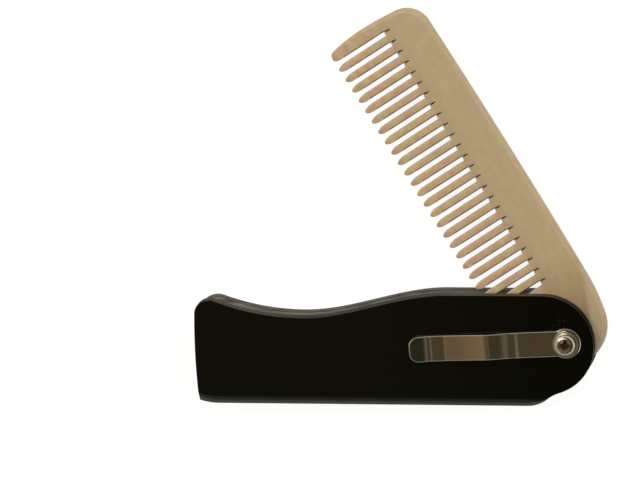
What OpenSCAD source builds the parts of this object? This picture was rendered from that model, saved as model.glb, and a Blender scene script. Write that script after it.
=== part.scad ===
// Pocket comb of polished horn that folds into a slotted case with a spring pocket clip.
// The pivot is the Z axis, the case lies on its rear face at z = 0, and the clip is on top.

/* [Case] */
// Pivot to the far end of the case
case_reach = 102.4; // [95:0.1:112]
// Pivot to the round nose of the case
nose_reach = 7.6; // [6.8:0.1:8.5]
// Radius of the gently curved far end
end_r = 200; // [150:10:500]
// Radius of the round nose end
nose_r = 13.85; // [13.2:0.05:14.2]
// Pivot line to the straight spine edge
spine_drop = 18.05; // [17.5:0.05:19.5]
// Pivot line to the mouth edge beside the pivot
mouth_rise = 13.05; // [12:0.05:13.6]
// Pivot line to the mouth edge at the waist
waist_rise = 6.45; // [5.5:0.05:8]
// Pivot to the waist
waist_reach = 73; // [68:0.5:82]
// Pivot to the shoulder, where the mouth edge levels out
shoulder_reach = 33.5; // [22:0.5:38]
// Radius of the mouth edge where it flares towards the far end
flare_r = 66; // [50:1:80]
// Thickness of each scale
scale_t = 3.25; // [2.8:0.05:4]
// Width and height of the rounded bevel along the spine
spine_bevel = 2.3; // [1:0.1:2.4]
// Width and height of the rounded bevel along the mouth and round the nose
mouth_bevel = 0.2; // [0.1:0.05:1]
// Softening of the scales' inner edges along the mouth
inner_soft = 0.2; // [0.1:0.05:0.4]
// Corner radius at the mouth end of the far edge
top_corner_r = 4; // [2:0.1:5]
// Radius of the slow sweep from the spine edge up to the sharp far corner
sweep_r = 17; // [12:0.5:24]
// Length of that sweep, from the far end
sweep_len = 6; // [4:0.1:8]
// Pivot to where the spine edge starts to turn up to the nose
spine_stop = 11.4; // [10.5:0.1:12.5]
// Radius of that turn
turn_r = 9; // [7:0.1:10]
// Fillet between the turn and the nose
turn_fillet = 10; // [5:0.5:14]
// Height of the toe that stops the comb, above the spacer's inner face
toe_h = 3; // [2.4:0.1:3.4]

/* [Comb] */
// Thickness of the comb
comb_t = 3; // [2.4:0.1:3.6]
// Thickness at the tooth tips
tip_t = 1.9; // [1.4:0.1:2.3]
// Pivot line to the tooth tips
comb_front = 14.4; // [13:0.1:14.8]
// Pivot line to the back of the comb at its ends
comb_back = 14.2; // [13.8:0.1:15]
// Crown of the back at the middle of the comb
back_crown = 0.35; // [0:0.05:1]
// Radius of the heel
heel_r = 11.5; // [11:0.1:12.2]
// Height by which the heel's round is lifted off the line of the back
heel_lift = 1.2; // [0.8:0.1:1.6]
// Radius of the slow curve from the heel into the back
blend_r = 58; // [40:1:80]
// Pivot to the leading side of the heel
heel_reach = 7.6; // [7:0.1:8]
// Radius of the tang round the pivot
tang_r = 8; // [7.2:0.1:8.6]
// Corner radius of the back at the comb's free end
tip_corner_r = 7; // [4:0.1:8]
// Width and height of the rounded bevel along the back and the free end
back_bevel = 1.1; // [0.5:0.05:1.15]
// Width and height of the rounded bevel along the tooth tips and the tang
tooth_bevel = 0.6; // [0.3:0.1:0.7]
// Distance from one tooth to the next
tooth_pitch = 3.341; // [3:0.001:4]
// Width of the gaps between teeth
gap_w = 1.4; // [1.3:0.05:1.6]
// Width of the gaps at their inner ends
root_w = 1.3; // [0.8:0.1:1.3]
// Length over which the gaps narrow at their inner ends
root_taper = 0.25; // [0.1:0.05:1]
// Pivot to the first gap
first_gap = 17.1; // [16.6:0.1:19]
// Pivot line to the inner ends of the gaps
gap_root = 1.6; // [1:0.1:4]
// Length of the rounded tooth tips
tip_len = 2.3; // [1.5:0.1:3.5]
// Angle by which the teeth lean towards the pivot
tooth_lean = 2.3; // [0:0.1:3]
// Least width of the tooth at the free end
end_tooth_w = 3; // [2.5:0.1:4.5]
// Length of the saw run-outs beyond the gaps
runout_len = 1.7; // [1:0.1:2.5]
// Radius of the saw that cuts the run-outs
saw_r = 20; // [16:1:30]
// Thickness of the saw
saw_w = 1.2; // [0.8:0.1:1.2]
// Width of the saw's rim
rim_w = 0.5; // [0.2:0.05:0.7]
// Depth of the bevel that thins the saw to its rim
rim_depth = 0.5; // [0.3:0.1:1]
// Pivot to the inner side of the guard tooth
guard_reach = 13.3; // [12.8:0.1:13.6]
// Fillet between the guard tooth and the tang
guard_fillet = 1.5; // [0.5:0.1:3]
// Pivot line to where the free end starts to curve in along the end tooth
side_start = 5.2; // [4:0.1:7]
// Radius of that curve
side_r = 40; // [24:1:80]
// Corner radius of the guard and end teeth
tooth_corner_r = 1.1; // [0.8:0.1:1.2]
// Pivot line to where the comb starts to thin towards the tips
wedge_start = 2; // [0:0.5:6]
// Opening angle of the comb, 0 when closed
open_angle = 59.4; // [0:0.1:180]

/* [Pivot] */
// Thread diameter of the pivot screw
screw_d = 3; // [2.5:0.5:3]
// Length of the screw's threaded shank
screw_len = 8; // [7:0.5:9]
// Bevel at the screw's end
screw_point = 0.3; // [0.2:0.1:0.6]
// Diameter of the screw's pan head
head_d = 5.8; // [5.2:0.1:6.4]
// Height of the pan head
head_h = 2.2; // [1.9:0.1:2.6]
// Rounding of the head's upper edge
head_round = 1.2; // [0.8:0.1:1.5]
// Rise of the head's top towards its middle
head_crown = 0.1; // [0:0.05:0.3]
// Width across the cross recess
recess_w = 3.6; // [3:0.1:4]
// Depth of the cross recess
recess_depth = 1.5; // [1.2:0.1:1.7]
// Width across the recess at its bottom
recess_foot = 1.3; // [1:0.1:1.8]
// Width of each arm of the cross
recess_arm = 0.85; // [0.7:0.05:1.1]
// Diameter of the cone that joins the arms in the middle
recess_core = 2; // [1.4:0.1:2.4]
// Angle of the cross recess
recess_turn = 78; // [0:1:90]
// Outer diameter of the washer under the head
washer_d = 7; // [6.6:0.1:7.6]
// Thickness of the washer under the head
washer_t = 0.5; // [0.4:0.05:0.8]
// Outer diameter of the pivot barrel
barrel_d = 4.5; // [4.2:0.1:5]
// Diameter of the barrel's flush head
barrel_head_d = 7; // [6.5:0.1:8]
// Thickness of the barrel's flush head
barrel_head_t = 1.2; // [0.8:0.1:1.6]
// Distance from the barrel's end to the case's front face
barrel_short = 0.6; // [0.3:0.1:1.5]
// Depth of the barrel's bore beyond the screw's end
bore_spare = 0.8; // [0.3:0.1:1]
// Outer diameter of the thin washers beside the comb
side_washer_d = 9; // [8:0.1:11]
// Thickness of the thin washers beside the comb
side_washer_t = 0.2; // [0.1:0.05:0.4]

/* [Pocket clip] */
// Pivot to the free end of the clip
clip_reach = 43; // [38:0.1:48]
// Width of the strap
strap_w = 7.1; // [5:0.1:8.4]
// Thickness of the spring steel
clip_t = 0.7; // [0.5:0.05:0.9]
// Diameter of the clip's eye
eye_d = 8.3; // [8.2:0.1:10]
// Angle of the strap to the spine edge
clip_angle = 2.8; // [0:0.1:4]
// Free height under the strap
clip_gap = 1.2; // [0.8:0.1:2.4]
// Pivot to the start of the strap's rise
rise_start = 12.4; // [9:0.1:13]
// Pivot to the strap's crest
crest_reach = 21.6; // [19:0.1:24]
// Pivot to where the strap's slope down to the case ends
foot_reach = 33.4; // [30:0.1:35]
// Pivot to where the strap presses on the case
touch_reach = 36.6; // [35.5:0.1:37.5]
// Height of the turned-up lip
lip_h = 1.1; // [0.6:0.1:1.8]
// Corner radius of the strap's free end
clip_corner_r = 2.6; // [1:0.1:3]

/* [Fits] */
// Running clearance round the pivot barrel
run_gap = 0.05; // [0.03:0.01:0.1]
// Clearance on each side between the comb and its thin washers
side_gap = 0.05; // [0.03:0.01:0.15]
// Clearance between the tooth tips and the spacer
tip_gap = 0.4; // [0.3:0.1:0.8]
// Clearance between the comb's end and the case's end
end_gap = 0.8; // [0.4:0.1:1.5]
// Clearance left at the two stops
stop_gap = 0.12; // [0.08:0.01:0.3]
// Clearance round the screw in the clip and its washer
screw_gap = 0.15; // [0.1:0.01:0.3]
// Clearance round the barrel in the scales
seat_gap = 0.03; // [0.01:0.01:0.08]
// Clearance between the screw and the barrel's thread
thread_gap = 0.03; // [0.02:0.01:0.1]
// Clearance under the clip where it presses on the case
touch_gap = 0.02; // [0.01:0.01:0.05]

/* [Hidden] */
$fn = 64;

// Levels, counted up from the rear face
slot_w = comb_t + 2 * (side_washer_t + side_gap);
slot_z = scale_t;
front_z = scale_t + slot_w;
case_t = 2 * scale_t + slot_w;
clip_z = case_t + clip_t;
head_z = clip_z + washer_t;
pivot = [0, 0];

// How far a cutting or trimming shape reaches past what it cuts
over = 1;

// How far a bevel's surface runs on past the flat face that trims it
run_on = 0.05;

// Level of the spacer's inner face
web_y = -comb_front - tip_gap;

// Comb sizes that follow from the case
comb_reach = case_reach - end_gap;
heel_c = [heel_r - heel_reach, heel_r + heel_lift - comb_back];
blend_dy = blend_r - heel_r - heel_lift;
blend_c = [heel_c.x + sqrt(pow(blend_r - heel_r, 2) - blend_dy * blend_dy), heel_c.y + blend_dy];
tang_c = [tang_r - heel_reach, heel_c.y];
gap_count = floor((comb_reach - end_tooth_w - gap_w / 2 - first_gap) / tooth_pitch) + 1;
gap_len = comb_front + gap_root;
tooth_half = (tooth_pitch - gap_w) / 2;

// Points of an arc, both ends included
function arc(c, r, a0, a1, n) =
    [for (i = [0:n]) let (a = a0 + (a1 - a0) * i / n) [c.x + r * cos(a), c.y + r * sin(a)]];

// An outline without its first n0 and last n1 points
function trim(path, n0, n1) = [for (i = [n0:len(path) - 1 - n1]) path[i]];

// Direction from one point to another, from 0 to 360 degrees
function heading(p, q) = (atan2(q.y - p.y, q.x - p.x) + 360) % 360;

// Meeting point of two circles, on the left of the line from p to q
function meet(p, rp, q, rq) =
    let (d = norm(q - p), a = (d * d + rp * rp - rq * rq) / (2 * d))
    let (h = sqrt(rp * rp - a * a), e = (q - p) / d)
    p + a * e + h * [-e.y, e.x];

// Limits a share to the range from 0 to 1
function share(t) = min(1, max(0, t));

// A smooth step from 0 to 1
function ease(t) = let (s = share(t)) s * s * (3 - 2 * s);

// A rise from 0 to 1, curved up to the knee and straight from there on
function bend(t, knee) =
    let (s = share(t))
    (s < knee ? s * s / (2 * knee) : s - knee / 2) / (1 - knee / 2);

// Outward unit direction at each point of an anticlockwise outline
function outward(path) =
    let (n = len(path))
    [for (i = [0:n - 1]) let (t = path[(i + 1) % n] - path[(i + n - 1) % n]) [t.y, -t.x] / norm(t)];

// Shift of a sharp corner whose two sides, with outward directions n1 and n2, move by d1 and d2
function mitre(n1, d1, n2, d2) =
    [d1 * n2.y - d2 * n1.y, d2 * n1.x - d1 * n2.x] / (n1.x * n2.y - n1.y * n2.x);

// One ring of a plate: each point of an outline drawn in by its own distance, at its own level
function ring(path, side, inset, level) =
    [for (i = [0:len(path) - 1]) let (p = path[i] - inset[i] * side[i]) [p.x, p.y, level[i]]];

// A rounded bevel is an arc that starts upright and meets the face at an angle, given here as
// shares of its width drawn in, and of its height still to go, at each angle up to bevel_arc
bevel_arc = 60;
bevel_step = 15;
function drawn_in(a) = (1 - cos(a)) / (1 - cos(bevel_arc));
function to_go(a) = 1 - sin(a) / sin(bevel_arc);

// Rings of a bevel up to a flat face at height h, where each outline point has its own bevel width
function bevel_rings(path, side, width, h) =
    let (last = bevel_arc - bevel_step, run = run_on * (1 - drawn_in(last)) / to_go(last))
    concat(
        [for (a = [0:bevel_step:last])
            ring(path, side, width * drawn_in(a), [for (w = width) h - w * to_go(a)])],
        [ring(path, side, [for (w = width) w + run], [for (w = width) h + run_on])]);

// The same rings upside down, for the opposite face at height -h
function flipped(rings) =
    [for (k = [len(rings) - 1:-1:0]) [for (p = rings[k]) [p.x, p.y, -p.z]]];

// Case outline, anticlockwise from the sharp corner at the far end of the spine edge
end_c = [end_r - case_reach, 0];
sweep_c = [sweep_len - case_reach, sweep_r - spine_drop];
corner = meet(end_c, end_r, sweep_c, sweep_r);
turn_c = [-spine_stop, turn_r - spine_drop];
nose_c = [nose_reach - nose_r, mouth_rise - nose_r];
fillet_c = meet(nose_c, nose_r + turn_fillet, turn_c, turn_r + turn_fillet);
flare_c = [-waist_reach, waist_rise + flare_r];
top_c = meet(end_c, end_r - top_corner_r, flare_c, flare_r + top_corner_r);
top_a = heading(end_c, top_c);

// The end's narrow bevel stops just short of the spine's wide one, which runs out through the corner
corner_run = 1.1 * spine_bevel;
wall_a = 180 - asin((corner.y + corner_run) / end_r);

path_low = arc(sweep_c, sweep_r, heading(sweep_c, corner), 270, 4);
path_turn = arc(turn_c, turn_r, 270, heading(turn_c, fillet_c), 6);
path_fillet = arc(fillet_c, turn_fillet, heading(fillet_c, turn_c), heading(fillet_c, nose_c), 3);
path_nose = arc(nose_c, nose_r, heading(nose_c, fillet_c), 450, 24);
path_mouth = [for (i = [0:18]) let (t = i / 18)
    [-shoulder_reach - (waist_reach - shoulder_reach) * t, mouth_rise + (waist_rise - mouth_rise) * ease(t)]];
path_flare = arc(flare_c, flare_r, 270, heading(flare_c, top_c), 8);
path_top = arc(top_c, top_corner_r, heading(top_c, flare_c), top_a, 5);
path_far = trim(arc(end_c, end_r, top_a, wall_a, 8), 1, 0);

path_bend = concat(trim(path_turn, 0, 1), trim(path_fillet, 0, 1));
path_open = concat(path_nose, path_mouth, trim(path_flare, 1, 1), path_top, path_far);
case_path = concat(path_low, path_bend, path_open);

// Outward direction of each outline point, and at the corner the one that keeps both bevels' widths
corner_side = mitre((corner - sweep_c) / sweep_r, spine_bevel, (corner - end_c) / end_r, mouth_bevel);
case_side = concat([corner_side / spine_bevel], trim(outward(case_path), 1, 0));

// Weight of each outline point, 0 where the scales are bonded to the spacer and 1 along the open mouth
case_weight = concat(
    [for (p = path_low) 0],
    [for (i = [0:len(path_bend) - 1]) ease(i / len(path_bend))],
    [for (p = path_open) 1]);

// Comb outline, anticlockwise from the leading side of the heel, with the comb's length along +X
tip_y = tip_corner_r - comb_back;
tip_c = [sqrt(pow(comb_reach - tip_corner_r, 2) - tip_y * tip_y), tip_y];
tip_a = heading(pivot, tip_c);
end_a = asin(side_start / comb_reach);
side_c = (comb_reach - side_r) * [cos(end_a), sin(end_a)];
guard_c = [guard_reach + tooth_corner_r, comb_front - tooth_corner_r];
last_c = [side_c.x + sqrt(pow(side_r - tooth_corner_r, 2) - pow(guard_c.y - side_c.y, 2)), guard_c.y];
last_a = heading(side_c, last_c);
blend_a = heading(blend_c, heel_c);
tang_top = tang_c.y + tang_r;
root_c = [guard_reach - guard_fillet, tang_top + guard_fillet];
path_back = concat(
    arc(heel_c, heel_r, 180, blend_a, 14),
    trim(arc(blend_c, blend_r, blend_a, 270, 4), 1, 0),
    [for (i = [1:11]) let (t = i / 12)
        [blend_c.x + (tip_c.x - blend_c.x) * t, -comb_back - back_crown * 4 * t * (1 - t)]],
    arc(tip_c, tip_corner_r, 270, tip_a, 8));
path_end = trim(arc(pivot, comb_reach, tip_a - 360, end_a, 6), 1, 0);
path_front = concat(
    trim(arc(side_c, side_r, end_a, last_a, 4), 1, 1),
    arc(last_c, tooth_corner_r, last_a, 90, 4),
    arc(guard_c, tooth_corner_r, 90, 180, 4),
    arc(root_c, guard_fillet, 0, -90, 3));
path_tang = trim(arc(tang_c, tang_r, 90, 180, 10), 0, 1);
comb_path = concat(path_back, path_end, path_front, path_tang);

// Weight of each outline point, 0 along the back and 1 along the tooth tips
comb_weight = concat(
    [for (p = path_back) 0],
    [for (i = [1:len(path_end)]) ease(i / len(path_end))],
    [for (p = path_front) 1],
    [for (i = [1:len(path_tang)]) ease(1 - i / len(path_tang))]);

// Closed solid through rings of equal length, listed upwards, each anticlockwise from above
module skin(rings) {
    n = len(rings[0]);
    m = len(rings);
    sides = [for (k = [0:m - 2], i = [0:n - 1])
        let (j = (i + 1) % n) [k * n + i, (k + 1) * n + i, (k + 1) * n + j, k * n + j]];
    bottom = [for (i = [0:n - 1]) i];
    top = [for (i = [0:n - 1]) m * n - 1 - i];
    polyhedron(points = [for (r = rings) each r], faces = concat([bottom], sides, [top]), convexity = 10);
}

// One scale lying on z = 0, bevelled on its upper, outer face
module scale_plate() {
    width = [for (w = case_weight) spine_bevel + (mouth_bevel - spine_bevel) * w];
    none = 0 * case_weight;
    intersection() {
        skin(concat(
            [ring(case_path, case_side, case_weight * (inner_soft + run_on), [for (w = width) -run_on])],
            [ring(case_path, case_side, none, [for (w = width) inner_soft])],
            bevel_rings(case_path, case_side, width, scale_t)));
        translate([0, 0, scale_t / 2])
            cube([2 * (case_reach + over), 2 * (case_reach + over), scale_t], center = true);
    }
}

// A plate of the comb's outline, centred on z = 0, bevelled on both faces
module comb_plate() {
    width = [for (w = comb_weight) back_bevel + (tooth_bevel - back_bevel) * w];
    upper = bevel_rings(comb_path, outward(comb_path), width, comb_t / 2);
    skin(concat(flipped(upper), upper));
}

// Cross-section of the comb, full at the back and thinner towards the tooth tips
module comb_wedge() {
    far = comb_reach + over;
    slope = (comb_t - tip_t) / 2 / (comb_front - wedge_start);
    upper = [[comb_front + over, tip_t / 2 - slope * over], [wedge_start, comb_t / 2], [-far, comb_t / 2]];
    lower = [for (i = [2:-1:0]) [upper[i].x, -upper[i].y]];
    rotate([90, 0, 90])
        linear_extrude(2 * far, center = true) polygon(concat(upper, lower));
}

// Outline of one gap, from its root at y = 0 out past the tooth tips, which it rounds
module gap_outline() {
    tip_arc = 75;
    side = concat(
        [[root_w / 2, 0], [gap_w / 2, root_taper]],
        [for (a = [0:15:tip_arc])
            [tooth_pitch / 2 - tooth_half * cos(a), gap_len - tip_len * (1 - sin(a) / sin(tip_arc))]],
        [[tooth_pitch / 2 - tooth_half * cos(tip_arc), gap_len + over]]);
    polygon(concat(side, [for (i = [len(side) - 1:-1:0]) [-side[i].x, side[i].y]]));
}

// The thin saw whose edge leaves a run-out on the front face, beyond the root at y = 0
module saw() {
    chord = norm([runout_len, comb_t]);
    depth = sqrt(saw_r * saw_r - chord * chord / 4);
    half = [[0, saw_w / 2], [saw_r - rim_depth, saw_w / 2], [saw_r, rim_w / 2]];
    translate([0, -runout_len / 2 + depth * comb_t / chord, depth * runout_len / chord])
        rotate([0, 90, 0])
            rotate_extrude($fn = 96)
                polygon(concat(half, [for (i = [2:-1:0]) [half[i].x, -half[i].y]]));
}

module comb() {
    color("tan")
        translate([0, 0, case_t / 2])
            rotate([0, 0, 180 - open_angle])
                difference() {
                    intersection() {
                        comb_plate();
                        comb_wedge();
                    }
                    for (i = [0:gap_count - 1])
                        translate([first_gap + i * tooth_pitch, -gap_root, 0])
                            rotate([0, 0, tooth_lean]) {
                                linear_extrude(comb_t + 2 * over, center = true) gap_outline();
                                saw();
                            }
                    cylinder(h = comb_t + 2 * over, d = barrel_d + 2 * run_gap, center = true);
                }
}

module front_scale() {
    color("#17150f")
        difference() {
            translate([0, 0, front_z]) scale_plate();
            translate([0, 0, front_z - over]) cylinder(h = scale_t + 2 * over, d = barrel_d + 2 * seat_gap);
        }
}

module rear_scale() {
    color("#1b1812")
        difference() {
            translate([0, 0, scale_t])
                mirror([0, 0, 1]) scale_plate();
            translate([0, 0, -over]) cylinder(h = scale_t + 2 * over, d = barrel_d + 2 * seat_gap);
            translate([0, 0, -over]) cylinder(h = barrel_head_t + over, d = barrel_head_d + 2 * seat_gap);
        }
}

// Web between the scales, with a toe that the guard tooth meets when shut and the heel when fully open
module spine_spacer() {
    color("#100e0a")
        translate([0, 0, slot_z])
            linear_extrude(slot_w)
                intersection() {
                    polygon(case_path);
                    difference() {
                        union() {
                            translate([-case_reach - over, -spine_drop - over])
                                square([case_reach + over, web_y + spine_drop + over]);
                            translate([stop_gap - guard_reach, web_y - over])
                                square([guard_reach, toe_h + over]);
                        }
                        translate(heel_c) circle(heel_r + stop_gap, $fn = 128);
                    }
                }
}

// Sleeve nut that the comb turns on, let in flush with the rear face
module pivot_barrel() {
    bore_z = head_z - screw_len - bore_spare;
    color("goldenrod")
        difference() {
            union() {
                cylinder(h = barrel_head_t, d = barrel_head_d);
                cylinder(h = case_t - barrel_short, d = barrel_d);
            }
            translate([0, 0, bore_z]) cylinder(h = case_t, d = screw_d + 2 * thread_gap);
        }
}

// Thin washer between the comb and a scale
module side_washer() {
    color("khaki")
        difference() {
            cylinder(h = side_washer_t, d = side_washer_d);
            translate([0, 0, -over]) cylinder(h = side_washer_t + 2 * over, d = barrel_d + 2 * run_gap);
        }
}

module rear_pivot_washer() {
    translate([0, 0, slot_z]) side_washer();
}

module front_pivot_washer() {
    translate([0, 0, front_z - side_washer_t]) side_washer();
}

// Shares of the strap's rise and of its lip that are curved, before each runs on straight
rise_knee = 0.6;
lip_knee = 0.4;

// Height of the strap's underside above the case, at distance d from the pivot
function clip_rise(d) =
    let (up = bend((d - rise_start) / (crest_reach - rise_start), rise_knee))
    let (down = share((d - crest_reach) / (foot_reach - crest_reach)))
    let (lip = bend((d - touch_reach) / (clip_reach - touch_reach), lip_knee))
    clip_gap * up - (clip_gap - touch_gap) * down + lip_h * lip;

module pocket_clip() {
    steps = 48;
    under = [for (i = [0:steps]) let (d = clip_reach * i / steps) [-d, clip_rise(d)]];
    top = [for (i = [steps:-1:0]) under[i] + [0, clip_t]];
    color("gainsboro")
        translate([0, 0, case_t])
            rotate([0, 0, clip_angle])
                difference() {
                    union() {
                        cylinder(h = clip_t, d = eye_d);
                        intersection() {
                            rotate([90, 0, 0])
                                linear_extrude(strap_w + 2 * over, center = true) polygon(concat(under, top));
                            translate([0, 0, -over])
                                linear_extrude(lip_h + clip_gap + clip_t + 2 * over) strap_plan();
                        }
                    }
                    translate([0, 0, -over]) cylinder(h = clip_t + 2 * over, d = screw_d + 2 * screw_gap);
                }
}

// Plan of the strap, with two rounded corners at its free end
module strap_plan() {
    side = strap_w / 2 - clip_corner_r;
    translate([clip_corner_r - clip_reach, -strap_w / 2]) square([clip_reach - clip_corner_r, strap_w]);
    translate([-clip_reach, -side]) square([clip_reach, 2 * side]);
    for (y = [-side, side])
        translate([clip_corner_r - clip_reach, y]) circle(clip_corner_r);
}

module head_washer() {
    color("silver")
        translate([0, 0, clip_z])
            difference() {
                cylinder(h = washer_t, d = washer_d);
                translate([0, 0, -over]) cylinder(h = washer_t + 2 * over, d = screw_d + 2 * screw_gap);
            }
}

// Pan-head screw with a cross recess, its shank running down into the barrel
module pivot_screw() {
    dome = arc([head_d / 2 - head_round, head_h - head_crown - head_round], head_round, 0, 90, 8);
    color("lightgray")
        translate([0, 0, head_z])
            difference() {
                rotate_extrude()
                    polygon(concat(
                        [[0, -screw_len], [screw_d / 2 - screw_point, -screw_len]],
                        [[screw_d / 2, screw_point - screw_len], [screw_d / 2, 0], [head_d / 2, 0]],
                        dome,
                        [[0, head_h]]));
                translate([0, 0, head_h]) rotate([0, 0, recess_turn]) cross_recess();
            }
}

// Cross recess sunk from z = 0: two tapering wings and the cone where they meet
module cross_recess() {
    wing = [[-recess_w / 2, 0], [-recess_foot / 2, -recess_depth], [recess_foot / 2, -recess_depth]];
    for (a = [0, 90])
        rotate([90, 0, a])
            linear_extrude(recess_arm, center = true)
                polygon(concat(wing, [[recess_w / 2, 0], [recess_w / 2, over], [-recess_w / 2, over]]));
    translate([0, 0, -recess_depth])
        cylinder(h = recess_depth, d1 = recess_arm, d2 = recess_core);
}

rear_scale();
front_scale();
spine_spacer();
comb();
pivot_barrel();
rear_pivot_washer();
front_pivot_washer();
pocket_clip();
head_washer();
pivot_screw();
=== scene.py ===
import math

import bmesh
import bpy
import numpy as np
from mathutils import Matrix, Vector
from mathutils.geometry import delaunay_2d_cdt


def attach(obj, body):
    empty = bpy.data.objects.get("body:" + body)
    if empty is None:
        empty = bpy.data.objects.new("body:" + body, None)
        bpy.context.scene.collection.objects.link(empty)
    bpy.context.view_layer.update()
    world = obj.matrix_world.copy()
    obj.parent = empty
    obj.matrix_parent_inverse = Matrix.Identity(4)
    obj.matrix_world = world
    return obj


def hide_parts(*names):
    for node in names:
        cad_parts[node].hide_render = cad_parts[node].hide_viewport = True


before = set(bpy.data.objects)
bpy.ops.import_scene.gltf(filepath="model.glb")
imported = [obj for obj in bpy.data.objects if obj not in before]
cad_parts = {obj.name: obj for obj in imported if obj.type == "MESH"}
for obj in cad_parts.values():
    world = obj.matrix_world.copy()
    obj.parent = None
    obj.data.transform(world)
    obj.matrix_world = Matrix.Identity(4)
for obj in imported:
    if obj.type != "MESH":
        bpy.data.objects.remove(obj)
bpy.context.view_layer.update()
mm = 0.001
print("frame loaded:", len(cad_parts), "CAD nodes")

# Camera: a long lens, leaning a little to the right of the case and towards its mouth
cameraView = {
    "towards": (0.166, 0.229, 0.95917),      # from the part to the camera
    "right": (0.98609, -0.03075, -0.16332),  # to the right in the picture
    "up": (-0.00791, 0.97294, -0.23092),
    "centreRight": -68.338,                  # middle of the picture, in mm along right and up
    "centreUp": 25.735,
    "pixelsPerMm": 3.675,
    "distance": 3500.0,                      # mm
    "clip": (0.05, 20.0),                    # m
    "imageWidth": 640,
    "sensor": 36.0,                          # mm
}


def makeCamera(c):
    right, up, back = Vector(c["right"]), Vector(c["up"]), Vector(c["towards"])
    back = back.normalized()
    right = (right - back * right.dot(back)).normalized()
    up = back.cross(right)
    spot = right * c["centreRight"] + up * c["centreUp"] + back * c["distance"]
    data = bpy.data.cameras.new("camera")
    data.sensor_width = c["sensor"]
    data.lens = c["sensor"] * c["distance"] * c["pixelsPerMm"] / c["imageWidth"]
    data.clip_start, data.clip_end = c["clip"]
    camera = bpy.data.objects.new("camera", data)
    bpy.context.scene.collection.objects.link(camera)
    turn = Matrix((right, up, back)).transposed().to_4x4()
    camera.matrix_world = Matrix.Translation(spot * mm) @ turn
    bpy.context.scene.camera = camera


makeCamera(cameraView)
bpy.context.scene.view_settings.view_transform = "Standard"


# Small helpers for nodes and colours
def toLinear(hexColour):
    parts = [int(hexColour[i:i + 2], 16) / 255 for i in (1, 3, 5)]
    parts = [p / 12.92 if p <= 0.04045 else ((p + 0.055) / 1.055) ** 2.4 for p in parts]
    return (*parts, 1.0)


def grey(v):
    return (v, v, v, 1.0)


def addNode(tree, kind, settings=None, links=None, out=0):
    # settings holds properties and socket values, links holds what feeds each socket; a colour ramp's
    # settings are its stops, as (place, colour), and its blend
    node = tree.nodes.new(kind)
    for name, value in (settings or {}).items():
        if name == "stops":
            places = node.color_ramp.elements
            places[0].position, places[0].color = value[0]
            places[1].position, places[1].color = value[-1]
            for place, colour in value[1:-1]:
                places.new(place).color = colour
        elif name == "blend":
            node.color_ramp.interpolation = value
        elif isinstance(name, str) and hasattr(node, name):
            setattr(node, name, value)
        else:
            node.inputs[name].default_value = value
    for name, source in (links or {}).items():
        tree.links.new(source, node.inputs[name])
    return node.outputs[out] if out is not None else node


def newMaterial(name):
    mat = bpy.data.materials.new(name)
    mat.use_nodes = True
    return mat, mat.node_tree, mat.node_tree.nodes["Principled BSDF"]


# Sockets of the Mix node when it mixes colours
mixAmount, mixA, mixB, mixOut = 0, 6, 7, 2

# Materials. A noise of scale 1000 / size has one cell for each size in mm, and a wave of pi / 10 times
# that one ring
darkHorn = {
    "colour": "#0a0d07",        # buffalo horn, almost black with an olive cast
    "darkEnd": "#010300",         # towards the pivot, where the horn is denser
    "amber": "#0d0c06",         # thin brown clouds where it is less dense
    "cloudFrom": 0.50,          # share of the noise where the clouds begin and are full
    "cloudTo": 0.72,
    "dust": "#6a6858",          # specks of dust and skin where the thumb seldom wipes, above the eye
    "dustAt": (-1.5, 5.5, 10.0),  # mm
    "dustReach": 3.8,           # mm
    "dustShare": 0.3,
    "speck": 0.55,              # mm
    "darkEndFrom": -60.0,         # mm along the case
    "darkEndTo": 0.0,
    "cloudSize": 28.0,          # mm
    "polishWave": 9.0,          # mm between the shallow waves that hand polishing leaves
    "waveDepth": 0.4,           # mm
    "scratchGap": 0.5,          # mm between the finest scratches, drawn coarser than real ones
    "scratchDepth": 0.02,       # mm
    "scratchTurn": 0.35,        # radians from the case's length
    "scratchThin": 0.06,        # width of a scratch for its length
    "ior": 1.54,
    "polish": 0.3,              # share of specular light, a worn and waxed polish
    "roughness": 0.11,
    "scratchRough": 0.12,       # added to it in a scratch
}


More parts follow.
